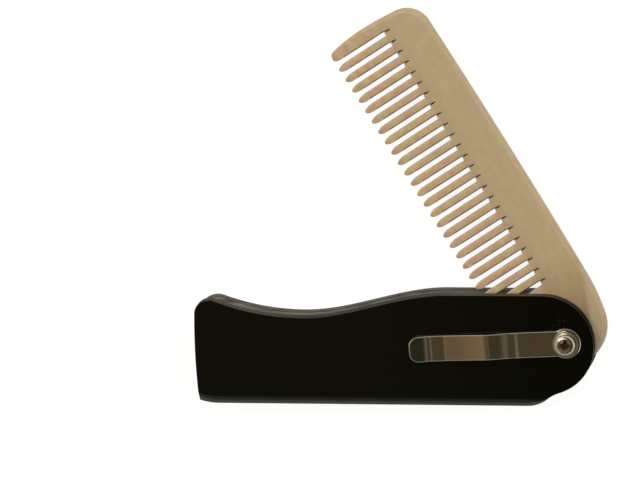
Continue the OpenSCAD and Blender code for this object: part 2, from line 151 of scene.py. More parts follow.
def makeDarkHorn(s):
    # Buffalo horn, hand polished: deep black gloss with faint brown clouds and hairline scratches
    mat, tree, shader = newMaterial("polishedDarkHorn")
    place = addNode(tree, "ShaderNodeTexCoord", out=3)
    split = addNode(tree, "ShaderNodeSeparateXYZ", links={0: place}, out=None)
    clouds = addNode(tree, "ShaderNodeTexNoise",
                     {"Scale": 1000 / s["cloudSize"], "Detail": 3.0, "Roughness": 0.5}, {"Vector": place})
    cloudy = addNode(tree, "ShaderNodeValToRGB",
                     {"stops": [(s["cloudFrom"], grey(0)), (s["cloudTo"], grey(1))]}, {0: clouds})
    darkEnd = addNode(tree, "ShaderNodeMapRange",
                    {"From Min": s["darkEndFrom"] * mm, "From Max": s["darkEndTo"] * mm},
                    {"Value": split.outputs[0]})
    colour = addNode(tree, "ShaderNodeMix",
                     {"data_type": "RGBA", mixA: toLinear(s["colour"]), mixB: toLinear(s["amber"])},
                     {mixAmount: cloudy}, mixOut)
    colour = addNode(tree, "ShaderNodeMix", {"data_type": "RGBA", mixB: toLinear(s["darkEnd"])},
                     {mixAmount: darkEnd, mixA: colour}, mixOut)
    away = addNode(tree, "ShaderNodeVectorMath",
                   {"operation": "DISTANCE", 1: [c * mm for c in s["dustAt"]]},
                   {0: place}, 1)
    close = addNode(tree, "ShaderNodeMapRange",
                    {"From Min": s["dustReach"] * mm, "From Max": s["dustReach"] * mm / 3}, {"Value": away})
    noise = addNode(tree, "ShaderNodeTexNoise",
                    {"Scale": 1000 / s["speck"], "Detail": 1.0}, {"Vector": place})
    specks = addNode(tree, "ShaderNodeValToRGB", {"stops": [(0.64, grey(0)), (0.80, grey(s["dustShare"]))]},
                     {0: noise})
    dusty = addNode(tree, "ShaderNodeMath", {"operation": "MULTIPLY"}, {0: close, 1: specks})
    colour = addNode(tree, "ShaderNodeMix", {"data_type": "RGBA", mixB: toLinear(s["dust"])},
                     {mixAmount: dusty, mixA: colour}, mixOut)
    stretched = addNode(tree, "ShaderNodeMapping",
                        {"Scale": (s["scratchThin"], 1.0, 1.0), "Rotation": (0, 0, s["scratchTurn"])},
                        {"Vector": place})
    lines = addNode(tree, "ShaderNodeTexNoise",
                    {"Scale": 1000 / s["scratchGap"], "Detail": 2.0}, {"Vector": stretched})
    scratches = addNode(tree, "ShaderNodeValToRGB",
                        {"stops": [(0.62, grey(0)), (0.75, grey(1))]}, {0: lines})
    waves = addNode(tree, "ShaderNodeTexNoise",
                    {"Scale": 1000 / s["polishWave"], "Detail": 1.0}, {"Vector": place})
    waved = addNode(tree, "ShaderNodeBump", {"Strength": 0.15, "Distance": s["waveDepth"] * mm},
                    {"Height": waves})
    bump = addNode(tree, "ShaderNodeBump", {"Strength": 0.06, "Distance": s["scratchDepth"] * mm},
                   {"Height": scratches, "Normal": waved})
    rough = addNode(tree, "ShaderNodeMapRange",
                    {"To Min": s["roughness"], "To Max": s["roughness"] + s["scratchRough"]},
                    {"Value": scratches})
    tree.links.new(colour, shader.inputs["Base Color"])
    tree.links.new(bump, shader.inputs["Normal"])
    tree.links.new(rough, shader.inputs["Roughness"])
    shader.inputs["IOR"].default_value = s["ior"]
    shader.inputs["Specular IOR Level"].default_value = s["polish"]
    return mat


sandedHorn = {
    "name": "sandedDarkHorn",
    "colour": "#39372f",        # the same horn where fine paper left it matt, so it looks olive grey
    "pale": "#57544a",
    "dark": "#24221c",
    "darkEnd": "#0d0d09",
    "lineGap": 1.0,             # mm, one cell of the noise, which draws about two sanding lines
    "lineLength": 28.0,         # mm
    "lineDepth": 0.04,          # mm
    "darkEndFrom": -9.0,          # mm along the case, near black towards the nose: painted shade on the nose rim
    "darkEndTo": -1.0,
    "paleBrown": "#5c5443",          # browner and paler: near the comb this is painted light, the glow that the comb throws back on the leaf's edge; the far end is paler too
    "paleBrownAt": [(-100.0, 0.0), (0.0, 0.0)],  # mm along the case, and the share of the paler brown
    "ior": 1.54,
    "polish": 0.3,
    "roughness": 0.65,
}
# the front leaf is of blacker horn; the leaves' inner faces come straight from the saw, paler still
sandedBlack = dict(sandedHorn, name="sandedBlackHorn", colour="#1b1914", pale="#302e26", dark="#0f0e0a",
                   darkEnd="#070603", darkEndTo=5.0, polish=0.08,
                   paleBrownAt=[(-100.0, 0.65), (-84.0, 0.45), (-72.0, 0.0), (-56.0, 0.0), (-42.0, 0.15),
                           (-24.0, 0.9)])
sawnHorn = dict(sandedHorn, name="sawnDarkHorn", colour="#77746a", pale="#918e84", dark="#605d54")


def makeSandedHorn(s):
    # Buffalo horn, never polished: matt olive grey with long pale lines from sanding or sawing
    mat, tree, shader = newMaterial(s["name"])
    place = addNode(tree, "ShaderNodeTexCoord", out=3)
    stretched = addNode(tree, "ShaderNodeMapping", {"Scale": (s["lineGap"] / s["lineLength"], 1.0, 1.0)},
                        {"Vector": place})
    lines = addNode(tree, "ShaderNodeTexNoise",
                    {"Scale": 1000 / s["lineGap"], "Detail": 3.0, "Roughness": 0.6}, {"Vector": stretched})
    colour = addNode(tree, "ShaderNodeValToRGB",
                     {"stops": [(0.34, toLinear(s["dark"])), (0.48, toLinear(s["colour"])),
                                (0.66, toLinear(s["pale"]))]}, {0: lines})
    split = addNode(tree, "ShaderNodeSeparateXYZ", links={0: place}, out=None)
    # paler brown along the case: near the comb it is painted light thrown back by the comb
    far, near = s["paleBrownAt"][0][0], s["paleBrownAt"][-1][0]
    along = addNode(tree, "ShaderNodeMapRange", {"From Min": far * mm, "From Max": near * mm},
                    {"Value": split.outputs[0]})
    paleBrown = addNode(tree, "ShaderNodeValToRGB",
                   {"stops": [((x - far) / (near - far), grey(share)) for x, share in s["paleBrownAt"]]},
                   {0: along})
    colour = addNode(tree, "ShaderNodeMix", {"data_type": "RGBA", mixB: toLinear(s["paleBrown"])},
                     {mixAmount: paleBrown, mixA: colour}, mixOut)
    # near black towards the nose: painted shade on the nose rim
    darkEnd = addNode(tree, "ShaderNodeMapRange",
                    {"From Min": s["darkEndFrom"] * mm, "From Max": s["darkEndTo"] * mm},
                    {"Value": split.outputs[0]})
    colour = addNode(tree, "ShaderNodeMix", {"data_type": "RGBA", mixB: toLinear(s["darkEnd"])},
                     {mixAmount: darkEnd, mixA: colour}, mixOut)
    bump = addNode(tree, "ShaderNodeBump", {"Strength": 0.25, "Distance": s["lineDepth"] * mm},
                   {"Height": lines})
    tree.links.new(colour, shader.inputs["Base Color"])
    tree.links.new(bump, shader.inputs["Normal"])
    shader.inputs["IOR"].default_value = s["ior"]
    shader.inputs["Specular IOR Level"].default_value = s["polish"]
    shader.inputs["Roughness"].default_value = s["roughness"]
    return mat


paleHorn = {
    "name": "polishedPaleHorn",
    "colour": "#b9a788",        # blond horn, tan with grey
    "streak": "#c1b093",
    "shade": "#b19e7f",
    "heel": "#9d8766",          # browner and darker towards the heel, next to the case: painted shade
    "heelFrom": 22.0,           # mm along the comb
    "heelTo": 2.0,
    "rim": "#b8a88b",           # a paler layer of the horn along the heel's edge
    "rimFrom": -7.3,            # mm across the comb, on a line that leans by rimLean
    "rimTo": -8.3,
    "rimLean": 0.4,
    "teeth": "#c8a988",         # the thin teeth let more light through and look rosier
    "teethShare": 0.55,
    "teethFrom": -3.0,          # mm across the comb
    "teethTo": 1.0,
    "mottle": 0.30,             # share of rosy, green and lilac patches on the teeth
    "bodyMottle": 0.10,         # and on the body
    "patch": 1.9,               # mm
    "streakGap": 10.4,          # mm across the fibres, one cell of the noise, which draws about four streaks
    "streakLength": 160.0,      # mm along them
    "streakDepth": 0.05,        # mm
    "turned": math.radians(120.6),  # the comb's own X axis, as the comb lies open
    "ior": 1.54,
    "roughness": 0.34,
    "glow": 0.25,               # share of the light that goes in and comes out nearby
    "glowDepth": 1.2,           # mm
    "glowColour": (1.0, 0.6, 0.35),  # how much further red goes than blue
}
# painted shade: dark brown on the side of each gap that the lamps leave in shade
gapShadeHorn = dict(paleHorn, name="paleHornPaintedShade", colour="#6f5c40", streak="#79664a", shade="#655338",
                heel="#5c4b33", teethShare=0.0, mottle=0.1, roughness=0.6)


def makePaleHorn(s):
    # Blond horn, polished to a soft gloss: long fibres, clouds of colour on the thin teeth, soft edges
    mat, tree, shader = newMaterial(s["name"])
    world = addNode(tree, "ShaderNodeTexCoord", out=3)
    place = addNode(tree, "ShaderNodeMapping", {"Rotation": (0, 0, -s["turned"])}, {"Vector": world})
    split = addNode(tree, "ShaderNodeSeparateXYZ", links={0: place}, out=None)
    stretched = addNode(tree, "ShaderNodeMapping",
                        {"Scale": (s["streakGap"] / s["streakLength"], 1.0, 1.0)},
                        {"Vector": place})
    streaks = addNode(tree, "ShaderNodeTexNoise",
                      {"Scale": 1000 / s["streakGap"], "Detail": 4.0, "Roughness": 0.55},
                      {"Vector": stretched})
    tone = addNode(tree, "ShaderNodeValToRGB",
                   {"stops": [(0.30, toLinear(s["shade"])), (0.50, toLinear(s["colour"])),
                              (0.74, toLinear(s["streak"]))]}, {0: streaks})
    # browner and darker towards the heel: painted shade
    heel = addNode(tree, "ShaderNodeMapRange",
                   {"From Min": s["heelFrom"] * mm, "From Max": s["heelTo"] * mm},
                   {"Value": split.outputs[0]})
    tone = addNode(tree, "ShaderNodeMix", {"data_type": "RGBA", mixB: toLinear(s["heel"])},
                   {mixAmount: heel, mixA: tone}, mixOut)
    leaning = addNode(tree, "ShaderNodeVectorMath", {"operation": "DOT_PRODUCT", 1: (s["rimLean"], 1, 0)},
                      {0: place}, 1)
    rim = addNode(tree, "ShaderNodeMapRange", {"From Min": s["rimFrom"] * mm, "From Max": s["rimTo"] * mm},
                  {"Value": leaning})
    tone = addNode(tree, "ShaderNodeMix", {"data_type": "RGBA", mixB: toLinear(s["rim"])},
                   {mixAmount: rim, mixA: tone}, mixOut)
    across = {"From Min": s["teethFrom"] * mm, "From Max": s["teethTo"] * mm}
    thin = addNode(tree, "ShaderNodeMapRange", {**across, "To Max": s["teethShare"]},
                   {"Value": split.outputs[1]})
    tone = addNode(tree, "ShaderNodeMix", {"data_type": "RGBA", mixB: toLinear(s["teeth"])},
                   {mixAmount: thin, mixA: tone}, mixOut)
    patches = addNode(tree, "ShaderNodeTexNoise",
                      {"Scale": 1000 / s["patch"], "Detail": 1.0}, {"Vector": place}, 1)
    vivid = addNode(tree, "ShaderNodeBrightContrast", {"Contrast": 1.2}, {0: patches})
    mottled = addNode(tree, "ShaderNodeMapRange",
                      {**across, "To Min": s["bodyMottle"], "To Max": s["mottle"]},
                      {"Value": split.outputs[1]})
    colour = addNode(tree, "ShaderNodeMix", {"data_type": "RGBA", "blend_type": "SOFT_LIGHT"},
                     {mixAmount: mottled, mixA: tone, mixB: vivid}, mixOut)
    bump = addNode(tree, "ShaderNodeBump", {"Strength": 0.08, "Distance": s["streakDepth"] * mm},
                   {"Height": streaks})
    tree.links.new(colour, shader.inputs["Base Color"])
    tree.links.new(bump, shader.inputs["Normal"])
    shader.inputs["IOR"].default_value = s["ior"]
    shader.inputs["Roughness"].default_value = s["roughness"]
    shader.inputs["Subsurface Weight"].default_value = s["glow"]
    shader.inputs["Subsurface Radius"].default_value = s["glowColour"]
    shader.inputs["Subsurface Scale"].default_value = s["glowDepth"] * mm
    return mat


stripSteel = {
    "colour": "#c9c4bc",        # stainless spring strip
    "lineGap": 0.12,            # mm between rolling lines, drawn coarser than real ones
    "lineLength": 12.0,         # mm
    "lineDepth": 0.01,          # mm
    "smudge": 3.85,             # mm, patches that fingers leave
    "smoothest": 0.04,          # roughness between the smudges
    "dullest": 0.13,            # and in them
}


def makeStripSteel(s):
    # Cold rolled stainless strip, bright annealed: mirror-like, with faint lines along its length
    mat, tree, shader = newMaterial("brightRolledStainless")
    place = addNode(tree, "ShaderNodeTexCoord", out=3)
    stretched = addNode(tree, "ShaderNodeMapping", {"Scale": (s["lineGap"] / s["lineLength"], 1.0, 1.0)},
                        {"Vector": place})
    lines = addNode(tree, "ShaderNodeTexNoise",
                    {"Scale": 1000 / s["lineGap"], "Detail": 1.0}, {"Vector": stretched})
    smudges = addNode(tree, "ShaderNodeTexNoise", {"Scale": 1000 / s["smudge"], "Detail": 2.0},
                      {"Vector": place})
    bump = addNode(tree, "ShaderNodeBump", {"Strength": 0.05, "Distance": s["lineDepth"] * mm},
                   {"Height": lines})
    rough = addNode(tree, "ShaderNodeMapRange", {"To Min": s["smoothest"], "To Max": s["dullest"]},
                    {"Value": smudges})
    shader.inputs["Base Color"].default_value = toLinear(s["colour"])
    shader.inputs["Metallic"].default_value = 1.0
    tree.links.new(rough, shader.inputs["Roughness"])
    tree.links.new(bump, shader.inputs["Normal"])
    return mat


screwNickel = {
    "colour": "#d8d0c2",        # nickel over steel, slightly yellow
    "darkBrown": "#3a2412",         # dark brown, down in the recess and, as painted reflection, on the dome round it
    "roughness": 0.29,
    "recessRoughness": 0.7,
    "recessFrom": 12.95,         # mm above the case's rear face, where the dark brown in the recess starts
    "recessTo": 12.6,            # and where it is full
    "recessR": 1.9,             # mm
    "brownReflectionFrom": 2.5,            # mm from the axis, where the painted brown reflection on the dome round the recess starts
    "brownReflectionTo": 1.5,
    "brownReflection": 0.7,
    "brownReflectionPatch": 0.9,           # mm
    "pit": 0.714,               # mm between the shallow pits of the plating
    "pitDepth": 0.03,           # mm
}


def makeNickel(s):
    # Nickel plated steel, barrel polished: soft mirror, dark brown and matt down in the recess, with a
    # painted brown reflection on the dome round it
    mat, tree, shader = newMaterial("platedNickel")
    place = addNode(tree, "ShaderNodeTexCoord", out=3)
    split = addNode(tree, "ShaderNodeSeparateXYZ", links={0: place}, out=None)
    pits = addNode(tree, "ShaderNodeTexNoise", {"Scale": 1000 / s["pit"], "Detail": 2.0}, {"Vector": place})
    deep = addNode(tree, "ShaderNodeMapRange",
                   {"From Min": s["recessFrom"] * mm, "From Max": s["recessTo"] * mm},
                   {"Value": split.outputs[2]})
    flat = addNode(tree, "ShaderNodeCombineXYZ", links={0: split.outputs[0], 1: split.outputs[1]})
    radius = addNode(tree, "ShaderNodeVectorMath", {"operation": "LENGTH"}, {0: flat}, 1)
    inside = addNode(tree, "ShaderNodeMath", {"operation": "LESS_THAN", 1: s["recessR"] * mm}, {0: radius})
    inRecess = addNode(tree, "ShaderNodeMath", {"operation": "MULTIPLY"}, {0: deep, 1: inside})
    # painted brown reflection: darkens the dome round the recess, in patches
    around = addNode(tree, "ShaderNodeMapRange",
                     {"From Min": s["brownReflectionFrom"] * mm, "From Max": s["brownReflectionTo"] * mm, "To Max": s["brownReflection"]},
                     {"Value": radius})
    noise = addNode(tree, "ShaderNodeTexNoise", {"Scale": 1000 / s["brownReflectionPatch"], "Detail": 2.0},
                    {"Vector": place})
    patches = addNode(tree, "ShaderNodeValToRGB",
                      {"stops": [(0.40, grey(0.15)), (0.60, grey(1))]}, {0: noise})
    brownReflection = addNode(tree, "ShaderNodeMath", {"operation": "MULTIPLY"}, {0: around, 1: patches})
    darkened = addNode(tree, "ShaderNodeMath", {"operation": "MAXIMUM"}, {0: inRecess, 1: brownReflection})
    colour = addNode(tree, "ShaderNodeMix",
                     {"data_type": "RGBA", mixA: toLinear(s["colour"]), mixB: toLinear(s["darkBrown"])},
                     {mixAmount: darkened}, mixOut)
    metal = addNode(tree, "ShaderNodeMapRange", {"To Min": 1.0, "To Max": 0.1}, {"Value": inRecess})
    rough = addNode(tree, "ShaderNodeMapRange", {"To Min": s["roughness"], "To Max": s["recessRoughness"]},
                    {"Value": inRecess})
    bump = addNode(tree, "ShaderNodeBump", {"Strength": 0.05, "Distance": s["pitDepth"] * mm},
                   {"Height": pits})
    tree.links.new(colour, shader.inputs["Base Color"])
    tree.links.new(metal, shader.inputs["Metallic"])
    tree.links.new(rough, shader.inputs["Roughness"])
    tree.links.new(bump, shader.inputs["Normal"])
    return mat


turnedBrass = {
    "colour": "#c9a15a",        # free-cutting brass
    "tarnish": "#8f6d38",
    "tarnishPatch": 1.43,       # mm
    "ringGap": 1.0,             # mm between the turning rings, drawn ten times coarser than real ones
    "ringDepth": 0.02,          # mm
    "roughness": 0.28,
}


def makeBrass(s):
    # Free-cutting brass, turned: warm metal with fine rings round its axis
    mat, tree, shader = newMaterial("turnedBrass")
    place = addNode(tree, "ShaderNodeTexCoord", out=3)
    rings = addNode(tree, "ShaderNodeTexWave",
                    {"wave_type": "RINGS", "rings_direction": "Z", "Distortion": 0.6,
                     "Scale": 1000 * math.pi / 10 / s["ringGap"]}, {"Vector": place})
    patches = addNode(tree, "ShaderNodeTexNoise", {"Scale": 1000 / s["tarnishPatch"], "Detail": 3.0},
                      {"Vector": place})
    colour = addNode(tree, "ShaderNodeMix",
                     {"data_type": "RGBA", mixA: toLinear(s["colour"]), mixB: toLinear(s["tarnish"])},
                     {mixAmount: patches}, mixOut)
    bump = addNode(tree, "ShaderNodeBump", {"Strength": 0.12, "Distance": s["ringDepth"] * mm},
                   {"Height": rings})
    tree.links.new(colour, shader.inputs["Base Color"])
    tree.links.new(bump, shader.inputs["Normal"])
    shader.inputs["Metallic"].default_value = 1.0
    shader.inputs["Roughness"].default_value = s["roughness"]
    return mat


hornBlack = makeDarkHorn(darkHorn)
hornMatt = makeSandedHorn(sandedHorn)
hornMattBlack = makeSandedHorn(sandedBlack)
hornSawn = makeSandedHorn(sawnHorn)
hornTan = makePaleHorn(paleHorn)
hornGapShade = makePaleHorn(gapShadeHorn)
steel = makeStripSteel(stripSteel)
nickel = makeNickel(screwNickel)
brass = makeBrass(turnedBrass)
print("materials made")


# Outlines in mm, anticlockwise
def arc(c, r, a0, a1, n):
    # n + 1 points round the centre c, from the angle a0 to a1 in degrees
    return [(c[0] + r * math.cos(math.radians(a0 + (a1 - a0) * i / n)),
             c[1] + r * math.sin(math.radians(a0 + (a1 - a0) * i / n))) for i in range(n + 1)]


def ease(t):
    t = min(1.0, max(0.0, t))
    return t * t * (3 - 2 * t)


def heading(p, q):
    # direction from p to q in degrees
    return math.degrees(math.atan2(q[1] - p[1], q[0] - p[0])) % 360


def meet(p, rp, q, rq):
    # where two circles meet, left of the line from p to q
    p, q = Vector(p), Vector(q)
    d = (q - p).length
    a = (d * d + rp * rp - rq * rq) / (2 * d)
    e = (q - p) / d
    return tuple(p + e * a + Vector((-e.y, e.x)) * math.sqrt(rp * rp - a * a))


def mitre(n1, d1, n2, d2):
    # shift of a sharp corner whose two sides, of outward normals n1 and n2, move in by d1 and d2
    turn = n1[0] * n2[1] - n1[1] * n2[0]
    return ((d1 * n2[1] - d2 * n1[1]) / turn, (d2 * n1[0] - d1 * n2[0]) / turn)


def outward(path):
    # outward normals at the points of a closed outline
    path = np.array(path)
    t = np.roll(path, -1, 0) - np.roll(path, 1, 0)
    t /= np.linalg.norm(t, axis=1)[:, None]
    return np.stack([t[:, 1], -t[:, 0]], 1)


def bevelArc(share, start, end):
    # a bevel is an arc whose tilt, in degrees from the face, goes from start at its outer side to end at
    # the face; returns how much of its width is drawn in, and of its height still to go, after a share
    start, end = np.radians(start), np.radians(end)
    tilt = start + (end - start) * share
    drawnIn = (np.sin(start) - np.sin(tilt)) / (np.sin(start) - np.sin(end))
    return drawnIn, (np.cos(end) - np.cos(tilt)) / (np.cos(end) - np.cos(start))


# Meshes
def insidePolygon(points, poly):
    # an even-odd count of the edges that a line to the right of each point crosses
    x, y = points[:, 0:1], points[:, 1:2]
    a, b = poly, np.roll(poly, -1, 0)
    cross = (a[None, :, 1] > y) != (b[None, :, 1] > y)
    with np.errstate(divide="ignore", invalid="ignore"):
        at = (b[:, 0] - a[:, 0])[None] * (y - a[None, :, 1]) / (b[:, 1] - a[:, 1])[None] + a[None, :, 0]
    return (cross & (x < at)).sum(1) % 2 == 1


def fillOutline(outline, holes, extra):
    # triangles between an outline and its holes, by way of the extra points, as (points, triangles)
    loops = [np.array(outline)] + [np.array(h) for h in holes]
    points, edges = [], []
    for loop in loops:
        first = len(points)
        points += [Vector(p) for p in loop]
        edges += [(first + i, first + (i + 1) % len(loop)) for i in range(len(loop))]
    points += [Vector(p) for p in extra]
    verts, _, faces, *_ = delaunay_2d_cdt(points, edges, [], 0, 1e-6)
    verts, faces = np.array(verts), np.array(faces)
    middles = verts[faces].mean(1)
    keep = insidePolygon(middles, loops[0])
    for hole in loops[1:]:
        keep &= ~insidePolygon(middles, hole)
    return verts, faces[keep]


class MeshParts:
    # gathers lofts between rings and filled outlines, then makes one clean mesh
    def __init__(self):
        self.verts, self.faces, self.slots = [], [], []

    def loft(self, rings, slots=None):
        # slots holds the number of the material for each point of the rings
        n = len(rings[0])
        for low, high in zip(rings, rings[1:]):
            first = len(self.verts)
            self.verts += [tuple(p) for p in low] + [tuple(p) for p in high]
            for i in range(n):
                j = (i + 1) % n
                self.faces.append((first + i, first + j, first + n + j, first + n + i))
                self.slots.append(0 if slots is None else int(slots[i]))

    def fill(self, outline, holes, level, up, extra=(), slot=0):
        # level gives the height at x, y
        verts, faces = fillOutline(outline, holes, extra)
        first = len(self.verts)
        self.verts += [(x, y, level(x, y)) for x, y in verts]
        for f in faces:
            a, b, c = (int(first + k) for k in f)
            p, q, r = (verts[k - first] for k in (a, b, c))
            turn = (q[0] - p[0]) * (r[1] - p[1]) - (q[1] - p[1]) * (r[0] - p[0])
            self.faces.append((a, b, c) if (turn > 0) == up else (a, c, b))
            self.slots.append(slot)

    def make(self, name, materials, sharp=12.0, weld=0.0004):
        # edges of more than sharp degrees stay sharp, points within weld mm become one
        data = bpy.data.meshes.new(name)
        data.from_pydata([tuple(c * mm for c in v) for v in self.verts], [], self.faces)
        data.polygons.foreach_set("material_index", self.slots)
        b = bmesh.new()
        b.from_mesh(data)
        bmesh.ops.remove_doubles(b, verts=b.verts, dist=weld * mm)
        bmesh.ops.dissolve_degenerate(b, edges=b.edges, dist=weld * mm)
        bmesh.ops.recalc_face_normals(b, faces=b.faces)
        b.to_mesh(data)
        b.free()
        data.shade_smooth()
        data.set_sharp_from_angle(angle=math.radians(sharp))
        for material in materials:
            data.materials.append(material)
        piece = bpy.data.objects.new(name, data)
        bpy.context.scene.collection.objects.link(piece)
        return piece


def ring(path, sides, inset, level):
    # the outline moved in by inset against its outward directions, at a height
    flat = np.array(path) - sides * np.array(inset)[:, None]
    return np.column_stack([flat, level])


def circle(r, n=96):
    return arc((0, 0), r, 0, 360 - 360 / n, n - 1)


def hoop(diameter, z):
    return np.array([(x, y, z) for x, y in circle(diameter / 2)])


# Case: two bevelled scales, bonded to the spacer along the spine
caseSize = {
    "reach": 102.39, "endR": 200.0,         # mm from the pivot to the far end, and its curve
    "noseReach": 7.59, "noseR": 13.84,
    "spineDrop": 18.04, "spineStop": 11.4,  # the straight spine edge
    "mouthRise": 13.04, "shoulderReach": 33.5,
    "waistRise": 6.45, "waistReach": 73.0, "flareR": 66.0,
    "topCornerR": 4.0, "sweepR": 17.0, "sweepLen": 6.0, "cornerRun": 2.53,
    "turnR": 9.0, "turnFillet": 10.0,       # from the spine up to the nose
    "scale": 3.25, "slot": 3.5,             # thickness of a leaf, and between them
    "spineBevel": 2.3, "spineDepth": 1.6, "spineTilt": (40.0, 26.0),
    "mouthBevel": 0.2, "mouthTilt": (90.0, 30.0), "innerSoft": 0.2,
    "bevelSteps": 10,
    "bore": 4.56, "headBore": 7.06, "headDepth": 1.2,
}


def caseOutline(s):
    # points of the case's outline, each with its weight, 0 along the spine and 1 along the open mouth
    # and round the ends, and its finish, 1 where the mouth was left sanded
    endC = (s["endR"] - s["reach"], 0.0)
    sweepC = (s["sweepLen"] - s["reach"], s["sweepR"] - s["spineDrop"])
    corner = meet(endC, s["endR"], sweepC, s["sweepR"])
    turnC = (-s["spineStop"], s["turnR"] - s["spineDrop"])
    noseC = (s["noseReach"] - s["noseR"], s["mouthRise"] - s["noseR"])
    filletC = meet(noseC, s["noseR"] + s["turnFillet"], turnC, s["turnR"] + s["turnFillet"])
    flareC = (-s["waistReach"], s["waistRise"] + s["flareR"])
    topC = meet(endC, s["endR"] - s["topCornerR"], flareC, s["flareR"] + s["topCornerR"])
    topA = heading(endC, topC)
    lowA = 180 - math.degrees(math.asin((corner[1] + s["cornerRun"]) / s["endR"]))
    low = arc(sweepC, s["sweepR"], heading(sweepC, corner), 270, 12)
    spine = [(sweepC[0] + (turnC[0] - sweepC[0]) * i / 40, -s["spineDrop"]) for i in range(1, 40)]
    rise = arc(turnC, s["turnR"], 270, heading(turnC, filletC), 24)[:-1]
    rise += arc(filletC, s["turnFillet"], heading(filletC, turnC), heading(filletC, noseC), 12)[:-1]
    polished = len(low) + len(spine) + len(rise)
    mouth = arc(noseC, s["noseR"], heading(noseC, filletC), 450, 110)
    run = s["waistReach"] - s["shoulderReach"]
    mouth += [(noseC[0] - (s["shoulderReach"] + noseC[0]) * i / 8, s["mouthRise"]) for i in range(1, 8)]
    mouth += [(-s["shoulderReach"] - run * i / 72,
               s["mouthRise"] + (s["waistRise"] - s["mouthRise"]) * ease(i / 72)) for i in range(73)]
    mouth += arc(flareC, s["flareR"], 270, heading(flareC, topC), 36)[1:-1]
    mouth += arc(topC, s["topCornerR"], heading(topC, flareC), topA, 20)
    sanded = len(low) + len(spine) + len(rise) + len(mouth)
    mouth += arc(endC, s["endR"], topA, lowA, 24)[1:]
    weights = [0.0] * (len(low) + len(spine))
    weights += [ease(i / len(rise)) for i in range(len(rise))]
    weights += [1.0] * len(mouth)
    path = low + spine + rise + mouth
    sides = outward(path)
    lowSide = (Vector(corner) - Vector(sweepC)).normalized()
    endSide = (Vector(corner) - Vector(endC)).normalized()
    sides[0] = np.array(mitre(lowSide, s["spineBevel"], endSide, s["mouthBevel"])) / s["spineBevel"]
    finish = [int(polished <= i < sanded) for i in range(len(path))]
    return path, sides, np.array(weights), finish


def scaleRings(s, path, sides, weight):
    # rings of one scale, from its inner face at z = 0 out to its bevelled outer face
    bevel = s["spineBevel"] + (s["mouthBevel"] - s["spineBevel"]) * weight
    depth = s["spineDepth"] + (s["mouthBevel"] - s["spineDepth"]) * weight
    start, end = (a + (b - a) * weight for a, b in zip(s["spineTilt"], s["mouthTilt"]))
    soft = s["innerSoft"] * weight
    rings = [ring(path, sides, soft * (1 - math.sin(a)), soft * (1 - math.cos(a)))
             for a in (0, math.pi / 6, math.pi / 3, math.pi / 2)]
    for k in range(s["bevelSteps"] + 1):
        drawnIn, toGo = bevelArc(k / s["bevelSteps"], start, end)
        rings.append(ring(path, sides, bevel * drawnIn, s["scale"] - depth * toGo))
    return rings


def makeScale(name, s, outer, base, edge):
    # outer is 1 for the scale whose outer face looks up, -1 for the other
    parts = MeshParts()
    path, sides, weight, finish = caseOutline(s)
    rings = [r * (1, 1, outer) + (0, 0, base) for r in scaleRings(s, path, sides, weight)]
    wall = 5                    # rings up to the bevel, which is polished like the face
    parts.loft(rings[:wall], finish)
    parts.loft(rings[wall - 1:])
    top = base + outer * s["scale"]
    wide = s["bore"]
    steps = [(s["bore"], base), (s["bore"], top)]
    if outer < 0:
        # the barrel's head is let into the rear leaf
        wide, sunk = s["headBore"], top + s["headDepth"]
        steps = [(wide, top), (wide, sunk), (s["bore"], sunk), (s["bore"], base)]
    parts.fill(rings[0][:, :2], [circle(s["bore"] / 2)], lambda x, y: base, outer < 0, slot=2)
    parts.fill(rings[-1][:, :2], [circle(wide / 2)], lambda x, y: top, outer > 0)
    parts.loft([hoop(d, z) for d, z in steps])
    return parts.make(name, [hornBlack, edge, hornSawn])


rearSize = dict(caseSize, topCornerR=5.2)   # its far corner was rounded off more by hand
slotTop = caseSize["scale"] + caseSize["slot"]
frontLeaf = makeScale("frontHornLeaf", caseSize, 1, slotTop, hornMattBlack)
rearLeaf = makeScale("rearHornLeaf", rearSize, -1, rearSize["scale"], hornMatt)
for piece, node in ((frontLeaf, "front_scale"), (rearLeaf, "rear_scale")):
    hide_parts(node)
    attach(piece, "case")
print("case leaves made")


# Comb: every tooth and saw run-out in one outline, whose gaps reach further on the front
combSize = {
    "opened": 59.4, "level": 5.0,           # degrees from closed, and mm from the rear face to its middle
    "reach": 101.58, "front": 14.4, "back": 14.198, "crown": 0.35,
    "heelR": 11.5, "heelLift": 1.2, "heelReach": 7.6, "blendR": 58.0, "tangR": 8.0, "bore": 4.6,
    "tipCornerR": 7.03, "sideStart": 5.2, "sideR": 40.0, "endCornerR": 1.55,
    "guard": 13.3, "guardFillet": 1.5, "toothCornerR": 1.1,
    "pitch": 3.341, "gap": 1.4, "firstGap": 17.1, "endTooth": 3.0,
    "root": 1.6, "rootW": 1.3, "rootTaper": 0.25, "slant": 0.5,
    "tipLen": 2.26, "lean": 2.3,
    "runout": 1.95, "leastRunout": 0.06, "saw": 0.3,
    "apart": (0.02, 0.05, 0.03),            # keeps the run-out's points apart where it is shallow
    "thick": 3.0, "tip": 1.9, "wedgeStart": 2.0, "roundLen": 1.6, "roundDepth": 0.3,
    "backBevel": 1.1, "backTilt": 30.0, "toothBevel": 0.6, "softTilt": 6.0, "bevelSteps": 6,
    "gapBevel": (0.2, 0.32, 0.06),          # of the gaps' sides, their sides with painted shade and the run-outs
}


